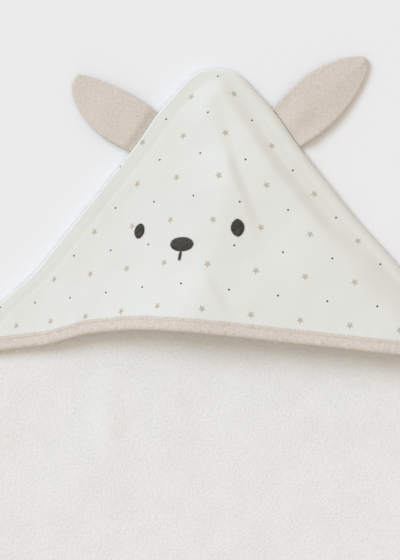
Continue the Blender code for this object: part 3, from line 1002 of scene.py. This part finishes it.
# Each ear: the middle of its base, the lie of its axis, its length, and its half widths in
# mm on the upper and lower side at shares of the length
EARS = {
    "left": ((-56.2 * MM, 496.8 * MM), math.radians(141.7), 73.0 * MM,
             [(0, 18.4), (0.2, 18.8), (0.42, 16.9), (0.65, 13.3), (0.85, 8.6), (0.95, 5.6),
              (1, 2.6)],
             [(0, 18.4), (0.22, 22.2), (0.45, 23.4), (0.68, 20.5), (0.85, 14.6), (0.95, 9.0),
              (1, 3.4)]),
    "right": ((56.6 * MM, 503.3 * MM), math.radians(40.3), 82.5 * MM,
              [(0, 19.0), (0.2, 21.6), (0.4, 22.4), (0.6, 20.2), (0.8, 14.6), (0.93, 8.0),
               (1, 2.4)],
              [(0, 19.0), (0.2, 21.8), (0.4, 22.0), (0.6, 19.2), (0.8, 13.6), (0.93, 7.6),
               (1, 2.4)]),
}


def through(points, share):
    """Smooth curve through a few (share, value) points."""
    shares = [p[0] for p in points]
    values = [p[1] for p in points]
    i = max(k for k in range(len(points) - 1) if shares[k] <= share)
    span = shares[i + 1] - shares[i]
    t = (share - shares[i]) / span

    def slope(k):
        before, after = max(k - 1, 0), min(k + 1, len(points) - 1)
        return (values[after] - values[before]) / (shares[after] - shares[before])

    h = t * t * (3 - 2 * t)
    return (values[i] * (1 - h) + values[i + 1] * h + span * slope(i) * t * (1 - t) ** 2
            - span * slope(i + 1) * t * t * (1 - t))


def ear_height(side, share, across):
    """Height of the middle between an ear's two layers: out of the seam, over the towel's
    thickness and on to the tip."""
    out_of_seam = SEAM_Z + 2.4 * MM * smooth(share / 0.1)
    lie = out_of_seam - 1.4 * MM * smooth((share - 0.2) / 0.8)
    if side == "left":
        return lie + 0.6 * MM * across * smooth(share / 0.3)
    return lie - 1.7 * MM * max(-across, 0) * smooth(share / 0.3)


def to_hood_edge(side, start, along):
    """How far from start, along the given way, the hood's outline lies."""
    sign = SIDES[side]
    outwards = Vector((sign * math.cos(HOOD_ANGLE), math.sin(HOOD_ANGLE)))
    reach = 0.0
    for _ in range(5):
        x, y = start + along * reach
        beyond = (sign * x - half_width(y) - spread(y, sign)) * math.cos(HOOD_ANGLE)
        reach += (EAR_GAP - beyond) / along.dot(outwards)
    return reach


def ear_layer_place(side, front):
    """place() of one layer of an ear: puffed in the middle and pinched at its seam."""
    base, lie, length, upper, lower = EARS[side]
    along = Vector((math.cos(lie), math.sin(lie)))
    up_turn = -90 if side == "left" else 90
    upwards = Matrix.Rotation(math.radians(up_turn), 2) @ along
    direction = 1 if front else -1

    def place(a, b, layer):
        share = 1 - (1 - a) ** 1.6
        across = 2 * b - 1
        widths = upper if across > 0 else lower
        out = across * through(widths, share) * MM
        edge = min(1 - abs(across), (1 - share) * 3)
        puff = 0.5 * quarter_round(edge / 0.16)
        gap = 0.12 * MM + 1.1 * MM * puff * smooth(share / 0.12)
        thick = EAR_LAYER * (0.45 + 0.55 * quarter_round(edge / 0.08))
        first = to_hood_edge(side, Vector(base) + upwards * out, along)
        plan = Vector(base) + along * (first + share * (length - first)) + upwards * out
        crease = 0.5 * MM * math.sin(out / (4.2 * MM) + 1.3) * hollow(share, 0.28)
        crease += ripple(plan.x, plan.y, *EAR_RIPPLE)
        z = ear_height(side, share, across) + crease * quarter_round(edge / 0.3)
        z += direction * (gap + layer * thick)
        return plan.x, plan.y, z
    return place


def make_ear(side):
    for layer, front in (("front", True), ("back", False)):
        piece = cloth(f"{side}_ear_{layer}_cloth", (56, 40), ear_layer_place(side, front),
                      MELANGE, lambda a, b, co: (co.x + co.y, co.y - co.x))
        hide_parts(f"{side}_ear_{layer}")
        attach(piece, side + "_ear")


# ------------------------------------------------------------------ everything in its place

make_towel()
left_eye, right_eye, nose, mouth = make_face()
face_halves = {"left": [left_eye, nose, mouth], "right": [right_eye]}
for hood_side, hood_sign in SIDES.items():
    make_hood_half(hood_side, hood_sign, face_halves[hood_side])
    make_ear(hood_side)

# ------------------------------------------------------------------ studio

FLOOR_SIZE = 40                       # half its side, far enough to have no edge in any view

floor_mesh = bmesh.new()
bmesh.ops.create_grid(floor_mesh, x_segments=1, y_segments=1, size=FLOOR_SIZE)
paper, paper_tree, paper_shader = new_material("seamless_paper")
grain = add(paper_tree, "ShaderNodeTexNoise", {"Scale": 40.0})
paper_tone = add(paper_tree, "ShaderNodeMix", {"Factor": grain.outputs["Fac"],
                                               "A": linear("#F3F3F3"), "B": linear("#F4F4F4")},
                 data_type="RGBA")
paper_tree.links.new(paper_tone.outputs["Result"], paper_shader.inputs["Base Color"])
paper_shader.inputs["Roughness"].default_value = 0.9
paper_shader.inputs["Specular IOR Level"].default_value = 0.1
floor = place_object("floor", floor_mesh, paper)

camera = bpy.data.objects.new("camera", bpy.data.cameras.new("camera"))
bpy.context.scene.collection.objects.link(camera)
VIEW_HEIGHT = 0.448                   # height of the view at the towel
VIEW_X = -13.6 * MM
VIEW_BELOW_POINT = 188 * MM
camera.data.lens = 100
camera.data.clip_start = 0.05
camera.location = (VIEW_X, POINT_Y - VIEW_BELOW_POINT,
                   VIEW_HEIGHT * camera.data.lens / camera.data.sensor_width)
bpy.context.scene.camera = camera

window = bpy.data.objects.new("window", bpy.data.lights.new("window", "SUN"))
bpy.context.scene.collection.objects.link(window)
window.data.energy = 1.57
window.data.angle = math.radians(30)  # as wide as a large softbox
window.data.color = (0.80, 0.98, 1.24)
window.rotation_euler = Vector((-0.655, 0.49, 0.574)).to_track_quat("Z", "Y").to_euler()

world = bpy.data.worlds.new("studio")
bpy.context.scene.world = world
world.use_nodes = True
world.node_tree.nodes["Background"].inputs["Color"].default_value = (1.09, 1.0, 0.885, 1)
world.node_tree.nodes["Background"].inputs["Strength"].default_value = 0.64
bpy.context.scene.view_settings.view_transform = "Standard"
